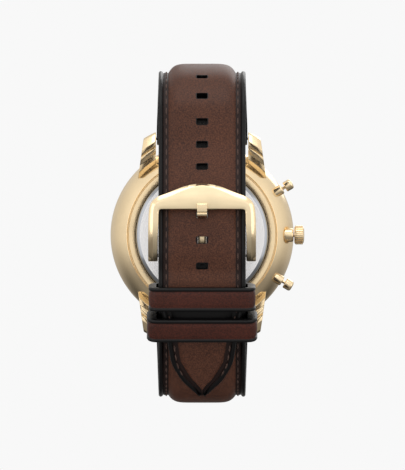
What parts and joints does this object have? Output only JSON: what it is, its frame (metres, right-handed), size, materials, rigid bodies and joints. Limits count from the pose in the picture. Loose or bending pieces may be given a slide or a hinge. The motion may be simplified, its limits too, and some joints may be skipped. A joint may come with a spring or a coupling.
{
  "type": "chronograph wristwatch",
  "caption": "Round chronograph wristwatch with two push buttons, a crown, small dials and a padded leather strap closed with a pin buckle and two keepers.",
  "frame": {"origin": "centre of the wrist opening, level with the crown and midway between the case back and the buckle side of the loop", "axes": "+Y out through the dial, +Z towards six o'clock, +X towards the crown; the wrist runs along X"},
  "size_m": [0.0465, 0.065, 0.0796],
  "materials": {
    "gold_case": "polished rose gold plating",
    "gold_trim": "polished rose gold plating",
    "buckle_gold": "brushed face with polished bevel",
    "crystal_glass": "clear",
    "gasket_rubber": "matt",
    "dial_paint": "fine sunburst lacquer",
    "back_steel": "satin disc with polished bevel",
    "holder_plastic": "matt",
    "plate_brass": "satin",
    "bridge_steel": "brushed",
    "board_green": "satin",
    "battery_steel": "satin",
    "coil_copper": "enamelled copper wire",
    "spring_bar_steel": "turned",
    "strap_leather": "smooth, semi-gloss, black edges",
    "lining_leather": "matt",
    "keeper_leather": "smooth, semi-gloss, black edges"
  },
  "bodies": {
    "watch": {"mid_case": "gold_case", "bezel": "gold_case", "crystal": "crystal_glass", "crystal_gasket": "gasket_rubber", "dial_ring": "dial_paint", "dial": "dial_paint", "hour_markers": "gold_trim", "subdial_rings": "gold_trim", "case_back": "back_steel", "case_back_gasket": "gasket_rubber", "movement_holder": "holder_plastic", "main_plate": "plate_brass", "train_bridge": "bridge_steel", "circuit_board": "board_green", "battery": "battery_steel", "battery_clamp": "battery_steel", "motor_coil": "coil_copper", "stator": "bridge_steel", "movement_screws": "bridge_steel", "crown_tube": "gold_case", "start_pusher_tube": "gold_case", "reset_pusher_tube": "gold_case", "spring_bar_six": "spring_bar_steel", "spring_bar_twelve": "spring_bar_steel", "spring_bar_buckle": "spring_bar_steel", "long_strap_upper": "strap_leather", "long_strap_lining": "lining_leather", "short_strap_upper": "strap_leather", "short_strap_lining": "lining_leather", "fixed_keeper": "keeper_leather"},
    "clutch": {"clutch_wheel": "bridge_steel"},
    "crown": {"crown": "gold_case", "stem": "bridge_steel"},
    "start_pusher": {"start_pusher": "gold_case"},
    "reset_pusher": {"reset_pusher": "gold_case"},
    "minute_train": {"minute_hand": "gold_trim", "cannon_pinion": "plate_brass"},
    "minute_wheel": {"minute_wheel": "plate_brass"},
    "hour_train": {"hour_hand": "gold_trim", "hour_wheel": "plate_brass"},
    "day_idler": {"day_idler_wheel": "plate_brass"},
    "day_hand": {"day_hand": "gold_trim"},
    "seconds_train": {"seconds_hand": "gold_trim", "fourth_wheel": "plate_brass"},
    "fifth_wheel": {"fifth_wheel": "plate_brass"},
    "rotor": {"rotor": "bridge_steel"},
    "chrono_seconds": {"chrono_seconds_hand": "gold_trim", "chrono_arbor": "bridge_steel"},
    "chrono_intermediate": {"chrono_intermediate_wheel": "plate_brass"},
    "chrono_minutes": {"chrono_minutes_hand": "gold_trim", "chrono_counter_wheel": "plate_brass"},
    "buckle_frame": {"buckle_frame": "buckle_gold"},
    "buckle_tongue": {"buckle_tongue": "buckle_gold"},
    "free_keeper": {"free_keeper": "keeper_leather"},
    "pin_six_crown": {"bar_pin_six_crown": "spring_bar_steel"},
    "pin_six_far": {"bar_pin_six_far": "spring_bar_steel"},
    "pin_twelve_crown": {"bar_pin_twelve_crown": "spring_bar_steel"},
    "pin_twelve_far": {"bar_pin_twelve_far": "spring_bar_steel"},
    "pin_buckle_crown": {"bar_pin_buckle_crown": "spring_bar_steel"},
    "pin_buckle_far": {"bar_pin_buckle_far": "spring_bar_steel"}
  },
  "joints": [
    {"name": "minute_hand_turn", "type": "hinge", "parent": "watch", "child": "minute_train", "pos_m": [0, 0.029, 0], "axis": [0, -1, 0], "continuous": true},
    {"name": "minute_wheel_turn", "type": "hinge", "parent": "watch", "child": "minute_wheel", "pos_m": [-0.0023, 0.0294, -0.00366], "axis": [0, -1, 0], "continuous": true},
    {"name": "hour_hand_turn", "type": "hinge", "parent": "watch", "child": "hour_train", "pos_m": [0, 0.03, 0], "axis": [0, -1, 0], "continuous": true},
    {"name": "day_idler_turn", "type": "hinge", "parent": "watch", "child": "day_idler", "pos_m": [0.00315, 0.0299, -0.0026], "axis": [0, -1, 0], "continuous": true},
    {"name": "day_hand_turn", "type": "hinge", "parent": "watch", "child": "day_hand", "pos_m": [0.0082, 0.03, 0], "axis": [0, -1, 0], "continuous": true},
    {"name": "seconds_hand_turn", "type": "hinge", "parent": "watch", "child": "seconds_train", "pos_m": [0, 0.03, 0.0082], "axis": [0, -1, 0], "continuous": true},
    {"name": "fifth_wheel_turn", "type": "hinge", "parent": "watch", "child": "fifth_wheel", "pos_m": [-0.00395, 0.027, 0.00676], "axis": [0, -1, 0], "continuous": true},
    {"name": "rotor_turn", "type": "hinge", "parent": "watch", "child": "rotor", "pos_m": [-0.00644, 0.027, 0.00821], "axis": [0, -1, 0], "continuous": true},
    {"name": "chrono_seconds_turn", "type": "hinge", "parent": "watch", "child": "chrono_seconds", "pos_m": [0, 0.03, 0], "axis": [0, -1, 0], "continuous": true},
    {"name": "chrono_intermediate_turn", "type": "hinge", "parent": "watch", "child": "chrono_intermediate", "pos_m": [-0.00398, 0.027, -0.00091], "axis": [0, -1, 0], "continuous": true},
    {"name": "chrono_minutes_turn", "type": "hinge", "parent": "watch", "child": "chrono_minutes", "pos_m": [-0.0082, 0.03, 0], "axis": [0, -1, 0], "continuous": true},
    {"name": "crown_turn", "type": "hinge", "parent": "watch", "child": "clutch", "pos_m": [0.011, 0.0279, 0], "axis": [1, 0, 0], "continuous": true},
    {"name": "crown_pull", "type": "slide", "parent": "clutch", "child": "crown", "axis": [1, 0, 0], "range_m": [0, 0.001]},
    {"name": "start_pusher_press", "type": "slide", "parent": "watch", "child": "start_pusher", "axis": [-0.866, 0, 0.5], "range_m": [0, 0.0006], "stiffness_N_per_m": 800, "springref_m": -0.0005},
    {"name": "reset_pusher_press", "type": "slide", "parent": "watch", "child": "reset_pusher", "axis": [-0.866, 0, -0.5], "range_m": [0, 0.0006], "stiffness_N_per_m": 800, "springref_m": -0.0005},
    {"name": "buckle_frame_turn", "type": "hinge", "parent": "watch", "child": "buckle_frame", "pos_m": [0, -0.0241, -0.0046], "axis": [1, 0, 0], "range_deg": [0, 1.2]},
    {"name": "buckle_tongue_turn", "type": "hinge", "parent": "buckle_frame", "child": "buckle_tongue", "pos_m": [0, -0.0241, -0.0046], "axis": [1, 0, 0], "range_deg": [0, 0.8]},
    {"name": "free_keeper_slide", "type": "slide", "parent": "watch", "child": "free_keeper", "axis": [0, 0.3422, -0.9396], "range_m": [0, 0.0006]},
    {"name": "pin_six_crown_press", "type": "slide", "parent": "watch", "child": "pin_six_crown", "axis": [-1, 0, 0], "range_m": [0, 0.0011], "stiffness_N_per_m": 800, "springref_m": -0.0005},
    {"name": "pin_six_far_press", "type": "slide", "parent": "watch", "child": "pin_six_far", "axis": [1, 0, 0], "range_m": [0, 0.0011], "stiffness_N_per_m": 800, "springref_m": -0.0005},
    {"name": "pin_twelve_crown_press", "type": "slide", "parent": "watch", "child": "pin_twelve_crown", "axis": [-1, 0, 0], "range_m": [0, 0.0011], "stiffness_N_per_m": 800, "springref_m": -0.0005},
    {"name": "pin_twelve_far_press", "type": "slide", "parent": "watch", "child": "pin_twelve_far", "axis": [1, 0, 0], "range_m": [0, 0.0011], "stiffness_N_per_m": 800, "springref_m": -0.0005},
    {"name": "pin_buckle_crown_press", "type": "slide", "parent": "watch", "child": "pin_buckle_crown", "axis": [-1, 0, 0], "range_m": [0, 0.001], "stiffness_N_per_m": 800, "springref_m": -0.0005},
    {"name": "pin_buckle_far_press", "type": "slide", "parent": "watch", "child": "pin_buckle_far", "axis": [1, 0, 0], "range_m": [0, 0.001], "stiffness_N_per_m": 800, "springref_m": -0.0005}
  ],
  "couplings": [
    {"joint": "minute_wheel_turn", "follows": "minute_hand_turn", "ratio": -0.33333},
    {"joint": "hour_hand_turn", "follows": "minute_hand_turn", "ratio": 0.083333},
    {"joint": "day_idler_turn", "follows": "minute_hand_turn", "ratio": -0.053763},
    {"joint": "day_hand_turn", "follows": "minute_hand_turn", "ratio": 0.041667},
    {"joint": "fifth_wheel_turn", "follows": "seconds_hand_turn", "ratio": -6},
    {"joint": "rotor_turn", "follows": "seconds_hand_turn", "ratio": 30},
    {"joint": "chrono_intermediate_turn", "follows": "chrono_seconds_turn", "ratio": -0.13333},
    {"joint": "chrono_minutes_turn", "follows": "chrono_seconds_turn", "ratio": 0.016667}
  ]
}
